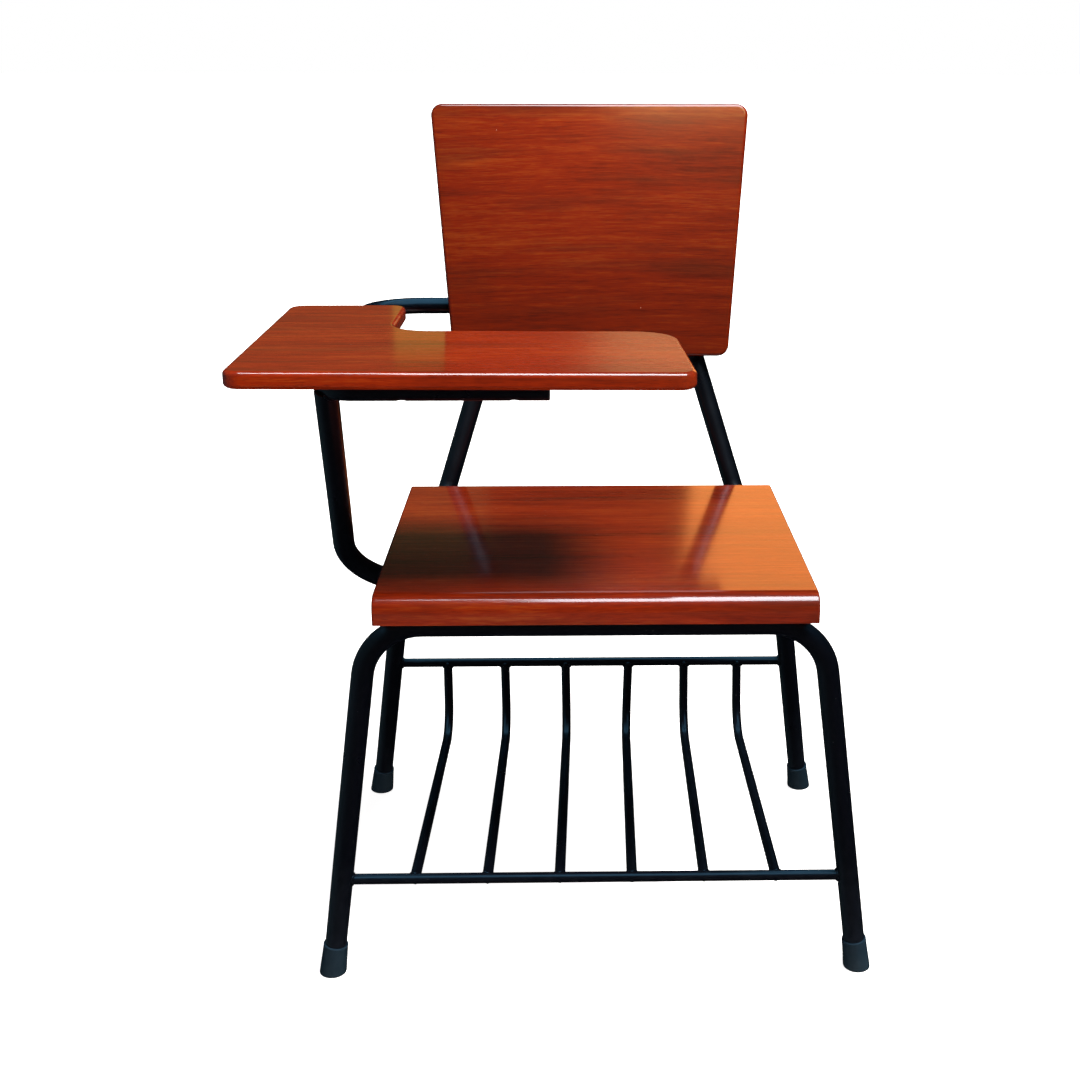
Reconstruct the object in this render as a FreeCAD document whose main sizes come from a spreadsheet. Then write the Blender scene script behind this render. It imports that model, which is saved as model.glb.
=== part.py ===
import FreeCAD, Part
import math
import os

import Sketcher
from FreeCAD import Placement, Rotation, Vector

# School chair with a writing arm: varnished boards on a welded frame of bent steel
# tube, with a basket of round bar under the seat.
# Chair frame used here: X to the right as seen from the front, Y from the seat's
# front edge to the back, Z up from the floor, X = 0 on the seat's middle.
# At the end every piece is moved so that the origin is under the middle of the box.

doc = FreeCAD.newDocument("writing_arm_chair")
sheet = doc.addObject("Spreadsheet::Sheet", "Sizes")

# Driving dimensions in millimetres and degrees: alias, value, what it is
DIMENSIONS = [
    ("frame_tube_diameter", 22.2, "leg frames, back frame and arm post, outside"),
    ("frame_tube_wall", 1.5, "wall of the frame tube"),
    ("support_tube_diameter", 19.05, "tablet support tube, outside"),
    ("support_tube_wall", 1.2, "wall of the support tube"),
    ("basket_bar_diameter", 11.0, "round bar of the basket"),
    ("weld_root_gap", 0.2, "gap left under a weld where tubes only touch"),
    ("seat_width", 423.0, "seat board, side to side"),
    ("seat_depth", 384.0, "seat board, front to back"),
    ("seat_thickness", 28.0, "seat board"),
    ("seat_height", 433.3, "seat's top above the floor"),
    ("seat_nose_radius", 16.0, "rounded upper front edge of the seat"),
    ("seat_edge_radius", 2.5, "the seat's other edges"),
    ("backrest_top_width", 370.3, "backrest board at its top"),
    ("backrest_bottom_width", 324.3, "backrest board at its bottom"),
    ("backrest_length", 290.5, "backrest board along its slope"),
    ("backrest_thickness", 16.0, "backrest board"),
    ("backrest_corner_radius", 13.0, "corners of the backrest board"),
    ("backrest_edge_radius", 4.0, "edges of the backrest board"),
    ("backrest_bottom_height", 577.0, "lower front edge of the backrest above the floor"),
    ("tablet_height", 656.0, "tablet's top above the floor"),
    ("tablet_thickness", 16.0, "writing tablet"),
    ("tablet_side_overhang", 115.3, "left edge of the tablet beyond the seat's side"),
    ("tablet_right_reach", 88.0, "right front corner of the tablet from the middle"),
    ("tablet_right_slant", 8.0, "how far the right edge runs in towards the rear"),
    ("tablet_front_reach", 51.0, "right front corner ahead of the seat"),
    ("tablet_front_slant", 10.0, "how much less the left front corner reaches"),
    ("tablet_writing_depth", 207.0, "writing area, front to back at its right end"),
    ("tablet_rear_slant", 8.0, "how much further back its rear edge is at the left"),
    ("tablet_arm_width", 125.6, "arm rest part"),
    ("tablet_arm_reach", 321.0, "rear edge of the arm rest behind the seat's front"),
    ("tablet_corner_radius", 17.0, "outer corners of the tablet"),
    ("tablet_inner_radius", 40.0, "hollow corner between arm rest and writing area"),
    ("tablet_rear_corner_radius", 44.0, "rear right corner of the writing area"),
    ("tablet_edge_radius", 4.5, "edges of the tablet"),
    ("front_foot_reach", 64.2, "front feet's centres beyond the seat's sides"),
    ("front_foot_setback", 45.6, "front feet behind the seat's front"),
    ("front_rail_setback", 30.0, "front rail behind the seat's front"),
    ("front_leg_splay_angle", 8.05, "degrees, outward lean of the front legs"),
    ("rear_foot_reach", 61.7, "rear feet's centres beyond the seat's sides"),
    ("rear_foot_setback", 76.0, "rear feet behind the seat's rear edge"),
    ("rear_rail_inset", 12.0, "rear rail ahead of the seat's rear edge"),
    ("rear_leg_splay_angle", 8.1, "degrees, outward lean of the rear legs"),
    ("leg_bend_radius", 60.0, "bends of both leg frames, to the tube's centre line"),
    ("side_rail_inset", 31.5, "side rails' centre lines inside the seat's sides"),
    ("back_bend_setback", 39.5, "corner of rail and upright behind the seat's rear edge"),
    ("back_bend_radius", 42.0, "bend from side rail to upright"),
    ("back_lean_angle", 12.0, "degrees, the back leans rearward"),
    ("back_bow_height", 800.0, "centre line of the top bow above the floor"),
    ("back_bow_width", 106.0, "between the corners of the top bow"),
    ("back_bow_radius", 60.0, "bends of the top bow"),
    ("post_top_reach", 32.3, "top of the arm post beyond the seat's side"),
    ("post_top_setback", 12.0, "top of the arm post behind the seat's front"),
    ("post_corner_reach", 50.5, "lower corner of the arm post beyond the seat's side"),
    ("post_corner_setback", 200.0, "lower corner of the arm post behind the front"),
    ("post_drop", 15.4, "lower run's centre line below the side rail's"),
    ("post_bend_radius", 70.0, "bend of the arm post"),
    ("support_front_reach", 33.5, "support tube's front corner beyond the seat's side"),
    ("support_front_setback", 1.0, "support tube's front run behind the seat's front"),
    ("support_rear_reach", 50.5, "support tube's rear corner beyond the seat's side"),
    ("support_end_offset", 43.7, "support tube's free end from the middle"),
    ("support_front_radius", 28.0, "front bend of the support tube"),
    ("support_rear_radius", 62.0, "rear bend of the support tube"),
    ("plug_head_thickness", 2.0, "plug in the support tube's free end"),
    ("plug_stem_length", 14.0, "plug's stem inside the tube"),
    ("basket_front_height", 112.0, "basket's front rail above the floor"),
    ("basket_rear_height", 197.0, "basket's rear rail above the floor"),
    ("basket_floor_height", 107.0, "rods' lower corners above the floor"),
    ("basket_rod_bend_radius", 38.0, "bend of each rod"),
    ("foot_cap_height", 36.0, "rubber foot cap along the leg"),
    ("foot_cap_wall", 1.7, "foot cap's wall at its upper edge"),
    ("foot_cap_flare", 1.2, "how much wider the foot cap's sole is, all round"),
    ("foot_cap_floor", 5.0, "rubber under the tube's end"),
    ("screw_shank_diameter", 4.5, "screws"),
    ("screw_head_diameter", 9.0, "screws' pan heads"),
    ("screw_head_height", 2.6, "screws' pan heads"),
    ("screw_bite", 11.0, "screw's length inside a board"),
    ("screw_hole_clearance", 0.5, "drilled hole in a tube over the shank, all round"),
    ("screw_access_clearance", 1.0, "hole under the support tube over the head, all round"),
    ("pilot_end_clearance", 1.0, "pilot hole beyond the screw's tip"),
]
for row, (alias, number, meaning) in enumerate(DIMENSIONS, start=1):
    sheet.set("A%d" % row, meaning)
    sheet.set("B%d" % row, str(number))
    sheet.setAlias("B%d" % row, alias)
doc.recompute()


def size(alias):
    return float(sheet.get(alias))


def value(rule):
    """Number that a rule written in the sheet's names gives."""
    return float(sheet.evalExpression(rule))


# Rules that follow from the driving dimensions; sketches are bound to them
TUBE_RADIUS_RULE = "Sizes.frame_tube_diameter / 2"
TUBE_BORE_RULE = "(Sizes.frame_tube_diameter / 2 - Sizes.frame_tube_wall)"
SUPPORT_RADIUS_RULE = "Sizes.support_tube_diameter / 2"
SUPPORT_BORE_RULE = "(Sizes.support_tube_diameter / 2 - Sizes.support_tube_wall)"
SHANK_RULE = "Sizes.screw_shank_diameter / 2"
PILOT_RULE = "Sizes.screw_bite + Sizes.pilot_end_clearance"
RAIL_RULE = "(Sizes.seat_height - Sizes.seat_thickness - Sizes.frame_tube_diameter / 2)"
REAR_RAIL_RULE = "(%s - Sizes.frame_tube_diameter - Sizes.weld_root_gap)" % RAIL_RULE
SUPPORT_RULE = "(Sizes.tablet_height - Sizes.tablet_thickness - Sizes.support_tube_diameter / 2)"
LEAN_RULE = "Sizes.back_lean_angle * 1 deg"
HALF_SEAT_RULE = "Sizes.seat_width / 2"
SIDE_RAIL_RULE = "(Sizes.seat_width / 2 - Sizes.side_rail_inset)"
BACK_BEND_RULE = "(Sizes.seat_depth + Sizes.back_bend_setback)"
# How far an upright comes inward for each millimetre that it rises
INWARD_RULE = "((%s - Sizes.back_bow_width / 2) / (Sizes.back_bow_height - %s))" % (
    SIDE_RAIL_RULE, RAIL_RULE)
CAP_SOLE_RULE = "(Sizes.frame_tube_diameter / 2 + Sizes.foot_cap_wall + Sizes.foot_cap_flare)"

TUBE_RADIUS = value(TUBE_RADIUS_RULE)
TUBE_BORE = value(TUBE_BORE_RULE)
SUPPORT_RADIUS = value(SUPPORT_RADIUS_RULE)
SUPPORT_BORE = value(SUPPORT_BORE_RULE)
BAR_RADIUS = size("basket_bar_diameter") / 2
SHANK_RADIUS = value(SHANK_RULE)
SHANK_HOLE_RADIUS = SHANK_RADIUS + size("screw_hole_clearance")
HEAD_RADIUS = size("screw_head_diameter") / 2
ACCESS_HOLE_RADIUS = HEAD_RADIUS + size("screw_access_clearance")
# The tablet screws' heads are inside the support tube: they bear where its round bore
# is as wide as the head, this far above its centre line
TABLET_SCREW_RISE = math.sqrt(SUPPORT_BORE ** 2 - HEAD_RADIUS ** 2)
SEAT_UNDERSIDE = size("seat_height") - size("seat_thickness")
TABLET_UNDERSIDE = size("tablet_height") - size("tablet_thickness")
RAIL_HEIGHT = value(RAIL_RULE)
SUPPORT_HEIGHT = value(SUPPORT_RULE)
HALF_SEAT = value(HALF_SEAT_RULE)
SIDE_RAIL_OFFSET = value(SIDE_RAIL_RULE)
BACK_LEAN = math.radians(size("back_lean_angle"))
FULL_TURN = 360

# Tolerances for finding an edge by its place, far below any size here, and by its
# direction
TOUCH = size("weld_root_gap") / 10
PARALLEL_SHARE = 0.999

# Places along a piece as shares of its length
SEAT_SCREW_SHARES = (0.22, 0.85)
BACKREST_SCREW_SHARES = (0.2, 0.62)
SUPPORT_SIDE_SCREW_SHARES = (0.2, 0.58)
SUPPORT_FRONT_SCREW_SHARES = (0.35, 0.85)

# How far each basket rod strays to the right of its even place at its lower corner
# and at the rear rail, as shares of the pitch: the rods are bent by hand
ROD_CORNER_SHARES = (0.10, 0.07, 0.085, 0.085, 0.065, -0.035)
ROD_TOP_SHARES = (0.105, 0.06, 0.07, 0.12, 0.05, -0.06)

pieces = []


# Sketches and bodies

def add_piece(item, label):
    item.Label = label
    pieces.append(item)
    return item


def new_body(name):
    return doc.addObject("PartDesign::Body", name)


def origin_plane(body, role):
    return [item for item in body.Origin.OriginFeatures if item.Role == role][0]


def new_sketch(body, role, name):
    sketch = body.newObject("Sketcher::SketchObject", name)
    sketch.AttachmentSupport = (origin_plane(body, role), [""])
    sketch.MapMode = "FlatFace"
    return sketch


def bind(sketch, kind, elements, rule):
    """Adds a dimension to a sketch and ties it to its rule."""
    index = sketch.addConstraint(Sketcher.Constraint(kind, *elements, value(rule)))
    name = "%s_%d" % (kind.lower(), index)
    sketch.renameConstraint(index, name)
    sketch.setExpression("Constraints." + name, rule)


def pin(sketch, geometry, end, spot):
    """Fixes a point of a sketch at its two rules; a rule of "0" means on the axis."""
    for kind, axis, rule in (("DistanceX", -2, spot[0]), ("DistanceY", -1, spot[1])):
        if rule == "0":
            sketch.addConstraint(Sketcher.Constraint("PointOnObject", geometry, end, axis))
        else:
            bind(sketch, kind, (-1, 1, geometry, end), rule)


def circle_in(sketch, spot, radius_rule):
    centre = Vector(value(spot[0]), value(spot[1]), 0)
    index = sketch.addGeometry(Part.Circle(centre, Vector(0, 0, 1), value(radius_rule)), False)
    pin(sketch, index, 3, spot)
    bind(sketch, "Radius", (index,), radius_rule)


def outline_in(sketch, corners):
    """Closed outline with sharp corners, each given by its two rules."""
    spots = [Vector(value(x), value(y), 0) for x, y in corners]
    count = len(spots)
    for i in range(count):
        sketch.addGeometry(Part.LineSegment(spots[i], spots[(i + 1) % count]), False)
    for i in range(count):
        sketch.addConstraint(Sketcher.Constraint("Coincident", i, 2, (i + 1) % count, 1))
    for i, corner in enumerate(corners):
        pin(sketch, i, 1, corner)
    doc.recompute()


def rounded_corner(before, here, after, radius):
    """Centre, start, middle and end of the arc that rounds one corner of a path."""
    to_before = (before - here).normalize()
    to_after = (after - here).normalize()
    half_angle = to_before.getAngle(to_after) / 2
    run = radius / math.tan(half_angle)
    bisector = (to_before + to_after).normalize()
    centre = here + bisector * (radius / math.sin(half_angle))
    return {"centre": centre, "in": here + to_before * run,
            "middle": centre - bisector * radius, "out": here + to_after * run}


def path_in(sketch, corners, radius_rules):
    """Open path of straight runs and arcs. The corners stay in it as points, so that
    the path is held by them and by its bend radii alone."""
    spots = [Vector(value(x), value(y), 0) for x, y in corners]
    last = len(spots) - 1
    bends = [rounded_corner(spots[i - 1], spots[i], spots[i + 1], value(radius_rules[i - 1]))
             for i in range(1, last)]
    starts = [spots[0]] + [bend["out"] for bend in bends]
    ends = [bend["in"] for bend in bends] + [spots[last]]
    edges = []
    for i in range(last):
        edges.append(sketch.addGeometry(Part.LineSegment(starts[i], ends[i]), False))
        if i < len(bends):
            edges.append(sketch.addGeometry(arc_of(bends[i], spots[i:i + 3]), False))
    pin(sketch, edges[0], 1, corners[0])
    pin(sketch, edges[-1], 2, corners[last])
    for i in range(len(bends)):
        run, arc, next_run = edges[2 * i:2 * i + 3]
        enters, leaves = (1, 2) if turns_left(spots[i:i + 3]) else (2, 1)
        sketch.addConstraint(Sketcher.Constraint("Tangent", run, 2, arc, enters))
        sketch.addConstraint(Sketcher.Constraint("Tangent", arc, leaves, next_run, 1))
        bind(sketch, "Radius", (arc,), radius_rules[i])
        corner = sketch.addGeometry(Part.Point(spots[i + 1]), True)
        sketch.addConstraint(Sketcher.Constraint("PointOnObject", corner, 1, run))
        sketch.addConstraint(Sketcher.Constraint("PointOnObject", corner, 1, next_run))
        pin(sketch, corner, 1, corners[i + 1])
    doc.recompute()
    return ["Edge%d" % (edge + 1) for edge in edges]


def turns_left(spots):
    before, here, after = spots
    return (here - before).cross(after - here).z > 0


def arc_of(bend, spots):
    """A bend's arc, drawn counter-clockwise as sketches want it."""
    first = bend["in"] - bend["centre"]
    final = bend["out"] - bend["centre"]
    if not turns_left(spots):
        first, final = final, first
    circle = Part.Circle(bend["centre"], Vector(0, 0, 1), first.Length)
    start = math.atan2(first.y, first.x)
    stop = math.atan2(final.y, final.x)
    return Part.ArcOfCircle(circle, start, stop)


def pad(body, sketch, rule, symmetric=False):
    feature = body.newObject("PartDesign::Pad", sketch.Name + "_pad")
    feature.Profile = sketch
    feature.SideType = "Symmetric" if symmetric else "One side"
    feature.setExpression("Length", rule)
    doc.recompute()
    return feature


def pocket(body, sketch, rule, symmetric=False):
    """Cuts a sketch out of its body, to the side that its normal points to or to both
    sides, and stops if it cut nothing."""
    before = body.Shape.Volume
    feature = body.newObject("PartDesign::Pocket", sketch.Name + "_pocket")
    feature.Profile = sketch
    feature.SideType = "Symmetric" if symmetric else "One side"
    feature.Reversed = not symmetric
    feature.setExpression("Length", rule)
    doc.recompute()
    if body.Shape.Volume >= before:
        raise RuntimeError(sketch.Name + " cut nothing")


def revolve(body, sketch):
    """Turns a profile about its sketch's upright axis."""
    feature = body.newObject("PartDesign::Revolution", sketch.Name + "_turned")
    feature.Profile = sketch
    feature.ReferenceAxis = (sketch, ["V_Axis"])
    feature.Angle = FULL_TURN
    doc.recompute()


def fillet(body, base, wanted, rule, name):
    """Rounds the edges of the base feature that wanted(edge) picks."""
    edges = ["Edge%d" % (i + 1) for i, edge in enumerate(base.Shape.Edges) if wanted(edge)]
    feature = body.newObject("PartDesign::Fillet", name)
    feature.Base = (base, edges)
    feature.setExpression("Radius", rule)
    doc.recompute()
    return feature


def round_corners(body, base, axis, corners, rule, name):
    """Rounds a board's corners: the edges along an axis at the corners' two rules."""
    across = [item for item in "xyz" if item != axis]
    spots = [(value(x), value(y)) for x, y in corners]

    def wanted(edge):
        middle = edge.CenterOfMass
        place = [getattr(middle, item) for item in across]
        along = abs(getattr(edge.tangentAt(edge.FirstParameter), axis))
        return along > PARALLEL_SHARE and any(math.dist(place, spot) < TOUCH for spot in spots)

    return fillet(body, base, wanted, rule, name)


def round_rims(body, base, axis, thickness, rule, name):
    """Rounds all edges that lie in a board's two broad faces."""
    def wanted(edge):
        places = [abs(getattr(vertex.Point, axis)) for vertex in edge.Vertexes]
        return max(places) < TOUCH or min(places) > thickness - TOUCH

    return fillet(body, base, wanted, rule, name)


# Bent tubes and rods that don't lie in one plane: pipe shells along straight runs
# joined by tangent arcs

def bent_path(points, radii):
    """Wire through the points; the inner points are rounded by the radii."""
    edges = []
    start = points[0]
    for before, here, after, radius in zip(points, points[1:], points[2:], radii):
        corner = rounded_corner(before, here, after, radius)
        edges.append(Part.LineSegment(start, corner["in"]).toShape())
        edges.append(Part.Arc(corner["in"], corner["middle"], corner["out"]).toShape())
        start = corner["out"]
    edges.append(Part.LineSegment(start, points[-1]).toShape())
    return Part.Wire(edges)


def rod_along(points, radii, radius):
    """Solid round rod along a bent path."""
    ring = Part.Wire([Part.Circle(points[0], points[1] - points[0], radius).toShape()])
    return bent_path(points, radii).makePipeShell([ring], True, False)


def add_feature(name, shape):
    feature = doc.addObject("Part::Feature", name)
    feature.Shape = shape
    return feature


def cut(name, base, tool):
    """One piece cut by another form."""
    feature = doc.addObject("Part::Cut", name)
    feature.Base = base
    feature.Tool = tool
    doc.recompute()
    return feature


def drills(name, spots, direction, length, radius):
    """Cutters for round holes: each goes half its length to both sides of its spot."""
    return add_feature(name, Part.makeCompound([
        Part.makeCylinder(radius, length, spot - direction * (length / 2), direction)
        for spot in spots]))


def bent_tube_body(name, role, corners, radius_rules, start, outer_rule, bore_rule):
    """Body of a hollow tube swept along a plane path that starts on the body's YZ
    plane, at the rule that start gives above its origin."""
    body = new_body(name)
    path = new_sketch(body, role, name + "_path")
    edges = path_in(path, corners, radius_rules)
    profile = new_sketch(body, "YZ_Plane", name + "_section")
    circle_in(profile, ("0", start), outer_rule)
    circle_in(profile, ("0", start), bore_rule)
    doc.recompute()
    pipe = body.newObject("PartDesign::AdditivePipe", name + "_pipe")
    pipe.Profile = profile
    pipe.Spine = (path, edges)
    doc.recompute()
    return body, pipe


# Leg frames: half of each is swept from the middle of its rail and mirrored

def leg_rail_rule(name):
    return RAIL_RULE if name == "front" else REAR_RAIL_RULE


def foot_setback_rule(name):
    if name == "front":
        return "Sizes.front_foot_setback"
    return "(Sizes.seat_depth + Sizes.rear_foot_setback)"


def rail_setback_rule(name):
    if name == "front":
        return "Sizes.front_rail_setback"
    return "(Sizes.seat_depth - Sizes.rear_rail_inset)"


def leg_rake_rule(name):
    """Angle of the frame's plane from upright, top forward."""
    run = "(%s - %s)" % (foot_setback_rule(name), rail_setback_rule(name))
    return "atan2(%s; %s)" % (run, leg_rail_rule(name))


def half_spread_rule(name):
    """From the middle to a foot's centre."""
    return "(%s + Sizes.%s_foot_reach)" % (HALF_SEAT_RULE, name)


def leg_point(name, side, height):
    """Point on a leg's centre line at a height above the floor; side is -1 or 1."""
    rake = math.radians(value(leg_rake_rule(name)))
    splay = math.radians(size(name + "_leg_splay_angle"))
    offset = value(half_spread_rule(name)) - height / math.cos(rake) * math.tan(splay)
    setback = value(foot_setback_rule(name)) - height * math.tan(rake)
    return Vector(side * offset, setback, height)


def leg_direction(name, side):
    return (leg_point(name, side, RAIL_HEIGHT) - leg_point(name, side, 0)).normalize()


def leg_envelope(name):
    """A leg frame without its bore, to cope other tubes against."""
    rail_height = value(leg_rail_rule(name))
    points = [leg_point(name, -1, 0), leg_point(name, -1, rail_height),
              leg_point(name, 1, rail_height), leg_point(name, 1, 0)]
    radius = size("leg_bend_radius")
    return add_feature(name + "_leg_envelope", rod_along(points, [radius, radius], TUBE_RADIUS))


def make_leg_frame(name):
    label = name + "_leg_frame"
    splay = "Sizes.%s_leg_splay_angle * 1 deg" % name
    half_spread = half_spread_rule(name)
    height = "(%s / cos(%s))" % (leg_rail_rule(name), leg_rake_rule(name))
    corners = [
        ("0", height),
        ("%s - %s * tan(%s)" % (half_spread, height, splay), height),
        ("%s - Sizes.foot_cap_floor * sin(%s)" % (half_spread, splay),
         "Sizes.foot_cap_floor * cos(%s)" % splay),
    ]
    body, pipe = bent_tube_body(label, "XZ_Plane", corners, ["Sizes.leg_bend_radius"], height,
                                TUBE_RADIUS_RULE, TUBE_BORE_RULE)
    mirror = body.newObject("PartDesign::Mirrored", label + "_mirror")
    mirror.Originals = [pipe]
    mirror.MirrorPlane = (origin_plane(body, "YZ_Plane"), [""])
    body.Tip = mirror
    doc.recompute()
    body.Placement = Placement(Vector(0, value(foot_setback_rule(name)), 0),
                               Rotation(Vector(1, 0, 0), value(leg_rake_rule(name))))
    add_piece(body, label)


# Foot caps: turned rubber ferrules whose soles are cut level with the floor

def make_foot_cap(name, side):
    label = "foot_cap_%s_%s" % (name, "left" if side < 0 else "right")
    body = new_body(label)
    tilt = "acos(cos(Sizes.%s_leg_splay_angle * 1 deg) * cos(%s))" % (name, leg_rake_rule(name))
    sole = CAP_SOLE_RULE
    mouth = "(Sizes.frame_tube_diameter / 2 + Sizes.foot_cap_wall)"
    profile = new_sketch(body, "XZ_Plane", label + "_profile")
    outline_in(profile, [
        ("0", "-" + sole),
        (sole, "-" + sole),
        (sole, "Sizes.foot_cap_height / 4"),
        (mouth, "Sizes.foot_cap_height"),
        (TUBE_RADIUS_RULE, "Sizes.foot_cap_height"),
        (TUBE_RADIUS_RULE, "Sizes.foot_cap_floor"),
        ("0", "Sizes.foot_cap_floor"),
    ])
    revolve(body, profile)
    # The wedge under the sloping floor line, as seen square to the leg's lean
    wedge = new_sketch(body, "XZ_Plane", label + "_floor_line")
    reach = "2 * " + sole
    outline_in(wedge, [
        ("-" + reach, "-" + reach),
        (reach, "-" + reach),
        (reach, "%s * tan(%s)" % (reach, tilt)),
        ("-" + reach, "-%s * tan(%s)" % (reach, tilt)),
    ])
    pocket(body, wedge, "4 * " + sole, symmetric=True)
    upward = leg_direction(name, side)
    across = Vector(0, 0, 1).cross(upward).normalize()
    body.Placement = Placement(leg_point(name, side, 0),
                               Rotation(across.cross(upward), across, upward, "ZXY"))
    add_piece(body, label)


# Back frame: side rails, uprights and top bow are one tube

def upright_point(side, height):
    """Point on an upright's centre line at a height above the floor."""
    rise = height - RAIL_HEIGHT
    offset = SIDE_RAIL_OFFSET - rise * value(INWARD_RULE)
    return Vector(side * offset, value(BACK_BEND_RULE) + rise * math.tan(BACK_LEAN), height)


def back_frame_rod(radius, overrun):
    """The back frame's bent form with a given radius, longer at both ends by the overrun."""
    points = []
    start = size("front_rail_setback") - overrun
    for side, order in ((-1, 1), (1, -1)):
        half = [Vector(side * SIDE_RAIL_OFFSET, start, RAIL_HEIGHT),
                upright_point(side, RAIL_HEIGHT), upright_point(side, size("back_bow_height"))]
        points += half[::order]
    bend = size("back_bend_radius")
    bow = size("back_bow_radius")
    return rod_along(points, [bend, bow, bow, bend], radius)


def backrest_normal():
    """Points forward out of the backrest, square to its slope."""
    return Vector(0, -math.cos(BACK_LEAN), math.sin(BACK_LEAN))


def backrest_base_height():
    """Height of the uprights' centre lines beside the backrest's lower edge."""
    depth = TUBE_RADIUS + size("backrest_thickness")
    return size("backrest_bottom_height") - depth * math.sin(BACK_LEAN)


def seat_screw_spots():
    """Where the seat screws' heads bear, under the side rails."""
    low = SEAT_UNDERSIDE - size("frame_tube_diameter")
    return [Vector(side * SIDE_RAIL_OFFSET, share * size("seat_depth"), low)
            for side in (-1, 1) for share in SEAT_SCREW_SHARES]


def backrest_screw_spots():
    """Where the backrest screws' heads bear, behind the uprights."""
    rise = size("backrest_length") * math.cos(BACK_LEAN)
    return [upright_point(side, backrest_base_height() + share * rise)
            - backrest_normal() * TUBE_RADIUS
            for side in (-1, 1) for share in BACKREST_SCREW_SHARES]


def make_back_frame(front_envelope, envelope):
    bar = cut("back_frame_coped", envelope, front_envelope)
    bore = add_feature("back_frame_bore", back_frame_rod(TUBE_BORE, TUBE_RADIUS))
    coped = cut("back_frame_tube", bar, bore)
    span = 3 * size("frame_tube_diameter")
    seat_drills = drills("back_frame_seat_drills", seat_screw_spots(), Vector(0, 0, 1), span,
                         SHANK_HOLE_RADIUS)
    rail_drilled = cut("back_frame_rails_drilled", coped, seat_drills)
    board_drills = drills("back_frame_board_drills", backrest_screw_spots(), backrest_normal(),
                          span, SHANK_HOLE_RADIUS)
    add_piece(cut("back_frame_drilled", rail_drilled, board_drills), "back_frame")


# Tablet support tube and arm post

def support_corners():
    """From the left upright to the side, forward under the arm rest, and across."""
    start = upright_point(-1, SUPPORT_HEIGHT)
    rear = Vector(-HALF_SEAT - size("support_rear_reach"), start.y, SUPPORT_HEIGHT)
    front = Vector(-HALF_SEAT - size("support_front_reach"), size("support_front_setback"),
                   SUPPORT_HEIGHT)
    end = Vector(-size("support_end_offset"), size("support_front_setback"), SUPPORT_HEIGHT)
    return start, rear, front, end


def support_screw_spots(rise):
    """Where the tablet screws pass, at a height above the support tube's centre line."""
    start, rear, front, end = support_corners()
    side_run = [front + (rear - front) * share for share in SUPPORT_SIDE_SCREW_SHARES]
    front_run = [front + (end - front) * share for share in SUPPORT_FRONT_SCREW_SHARES]
    return [spot + Vector(0, 0, rise) for spot in side_run + front_run]


def make_support_tube(back_envelope):
    """Swept in its own frame: the path starts at the upright and runs to the left."""
    rise = "(%s - %s)" % (SUPPORT_RULE, RAIL_RULE)
    start_offset = "(%s - %s * %s)" % (SIDE_RAIL_RULE, rise, INWARD_RULE)
    start_setback = "(%s + %s * tan(%s))" % (BACK_BEND_RULE, rise, LEAN_RULE)
    run_forward = "%s - Sizes.support_front_setback" % start_setback
    corners = [
        ("0", "0"),
        ("%s + Sizes.support_rear_reach - %s" % (HALF_SEAT_RULE, start_offset), "0"),
        ("%s + Sizes.support_front_reach - %s" % (HALF_SEAT_RULE, start_offset), run_forward),
        ("Sizes.support_end_offset - %s" % start_offset, run_forward),
    ]
    body = bent_tube_body("support_tube_bent", "XY_Plane", corners,
                          ["Sizes.support_rear_radius", "Sizes.support_front_radius"], "0",
                          SUPPORT_RADIUS_RULE, SUPPORT_BORE_RULE)[0]
    body.Placement = Placement(support_corners()[0], Rotation(Vector(0, 0, 1), FULL_TURN / 2))
    coped = cut("support_tube_coped", body, back_envelope)
    upward = Vector(0, 0, 1)
    holes = drills("support_tube_drills", support_screw_spots(SUPPORT_RADIUS), upward,
                   size("support_tube_diameter"), SHANK_HOLE_RADIUS)
    drilled = cut("support_tube_drilled", coped, holes)
    mouths = drills("support_tube_mouths", support_screw_spots(-SUPPORT_RADIUS), upward,
                    size("support_tube_diameter"), ACCESS_HOLE_RADIUS)
    add_piece(cut("support_tube_opened", drilled, mouths), "tablet_support_tube")


def support_envelope():
    """The support tube without its bore."""
    radii = [size("support_rear_radius"), size("support_front_radius")]
    return add_feature("support_envelope", rod_along(list(support_corners()), radii, SUPPORT_RADIUS))


def make_support_plug():
    """Plastic plug: a stem in the bore and a head as wide as the tube."""
    body = new_body("tablet_support_plug")
    stem = "-Sizes.plug_stem_length"
    shoulder = "Sizes.plug_head_thickness / 2"
    profile = new_sketch(body, "XZ_Plane", "plug_profile")
    outline_in(profile, [
        ("0", stem),
        (SUPPORT_BORE_RULE, stem),
        (SUPPORT_BORE_RULE, "0"),
        (SUPPORT_RADIUS_RULE, "0"),
        (SUPPORT_RADIUS_RULE, shoulder),
        ("%s - %s" % (SUPPORT_RADIUS_RULE, shoulder), "Sizes.plug_head_thickness"),
        ("0", "Sizes.plug_head_thickness"),
    ])
    revolve(body, profile)
    body.Placement = Placement(support_corners()[3], Rotation(Vector(0, 0, 1), Vector(1, 0, 0)))
    add_piece(body, "tablet_support_plug")


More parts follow.
